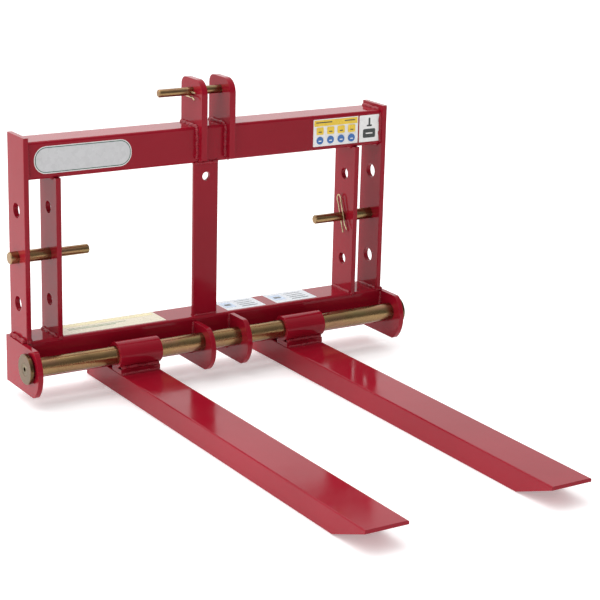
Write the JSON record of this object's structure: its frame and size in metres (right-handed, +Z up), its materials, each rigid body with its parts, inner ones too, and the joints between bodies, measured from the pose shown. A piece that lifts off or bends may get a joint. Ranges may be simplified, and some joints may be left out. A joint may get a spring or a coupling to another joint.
{
  "type": "pallet fork attachment",
  "caption": "Pallet fork attachment for a tractor's rear linkage: welded tube frame, pivot shaft with forks that slide and fold up, hitch pins and hairpin clips.",
  "frame": {"origin": "on the ground, in the middle of the bounding box's length and width", "axes": "+Y from the fork tips back towards the tractor, +X across the frame to the right seen from the fork tips, +Z up"},
  "size_m": [1.01, 1.19, 0.7045],
  "materials": {
    "red_paint": "gloss",
    "yellow_zinc": "satin",
    "dark_screw": "satin",
    "bright_wire": "gloss"
  },
  "bodies": {
    "frame": {"top_beam": "red_paint", "top_beam_cap_left": "red_paint", "top_beam_cap_right": "red_paint", "bottom_beam": "red_paint", "outer_plate_left": "red_paint", "outer_plate_right": "red_paint", "inner_plate_left": "red_paint", "inner_plate_right": "red_paint", "centre_post": "red_paint", "top_link_ear_left": "red_paint", "top_link_ear_right": "red_paint", "end_lug_left": "red_paint", "end_lug_right": "red_paint", "centre_lug_left": "red_paint", "centre_lug_right": "red_paint"},
    "shaft": {"pivot_shaft": "yellow_zinc", "retaining_disc_left": "yellow_zinc", "retaining_disc_right": "yellow_zinc", "disc_screw_left": "dark_screw", "disc_screw_right": "dark_screw"},
    "sleeve_left": {"fork_sleeve_left": "red_paint"},
    "sleeve_right": {"fork_sleeve_right": "red_paint"},
    "fork_left": {"fork_beam_left": "red_paint", "fork_nose_left": "red_paint", "fork_tail_cap_left": "red_paint", "fork_pad_left": "red_paint"},
    "fork_right": {"fork_beam_right": "red_paint", "fork_nose_right": "red_paint", "fork_tail_cap_right": "red_paint", "fork_pad_right": "red_paint"},
    "lower_pin_left": {"lower_pin_left": "yellow_zinc"},
    "lower_pin_right": {"lower_pin_right": "yellow_zinc"},
    "lower_clip": {"lower_pin_clip": "bright_wire"},
    "top_pin": {"top_pin": "yellow_zinc"},
    "top_clip": {"top_pin_clip": "bright_wire"}
  },
  "joints": [
    {"name": "shaft_spin", "type": "hinge", "parent": "frame", "child": "shaft", "pos_m": [0, 0.434, 0.0945], "axis": [1, 0, 0], "continuous": true},
    {"name": "fork_left_slide", "type": "slide", "parent": "frame", "child": "sleeve_left", "axis": [1, 0, 0], "range_m": [-0.199, 0.116]},
    {"name": "fork_left_swing", "type": "hinge", "parent": "sleeve_left", "child": "fork_left", "pos_m": [-0.226, 0.434, 0.0945], "axis": [-1, 0, 0], "range_deg": [0, 98]},
    {"name": "fork_right_slide", "type": "slide", "parent": "frame", "child": "sleeve_right", "axis": [1, 0, 0], "range_m": [-0.108, 0.207]},
    {"name": "fork_right_swing", "type": "hinge", "parent": "sleeve_right", "child": "fork_right", "pos_m": [0.218, 0.434, 0.0945], "axis": [-1, 0, 0], "range_deg": [0, 98]},
    {"name": "lower_pin_left_pull", "type": "slide", "parent": "frame", "child": "lower_pin_left", "axis": [-1, 0, 0], "range_m": [0, 0.205]},
    {"name": "lower_pin_right_turn", "type": "hinge", "parent": "frame", "child": "lower_pin_right", "pos_m": [0.435, 0.52, 0.33], "axis": [1, 0, 0], "continuous": true},
    {"name": "lower_clip_pull", "type": "slide", "parent": "lower_pin_right", "child": "lower_clip", "axis": [0, 0.342, 0.9397], "range_m": [0, 0.06]},
    {"name": "top_pin_turn", "type": "hinge", "parent": "frame", "child": "top_pin", "pos_m": [0, 0.513, 0.6755], "axis": [1, 0, 0], "continuous": true},
    {"name": "top_clip_pull", "type": "slide", "parent": "top_pin", "child": "top_clip", "axis": [0, 1, 0], "range_m": [0, 0.05]}
  ]
}
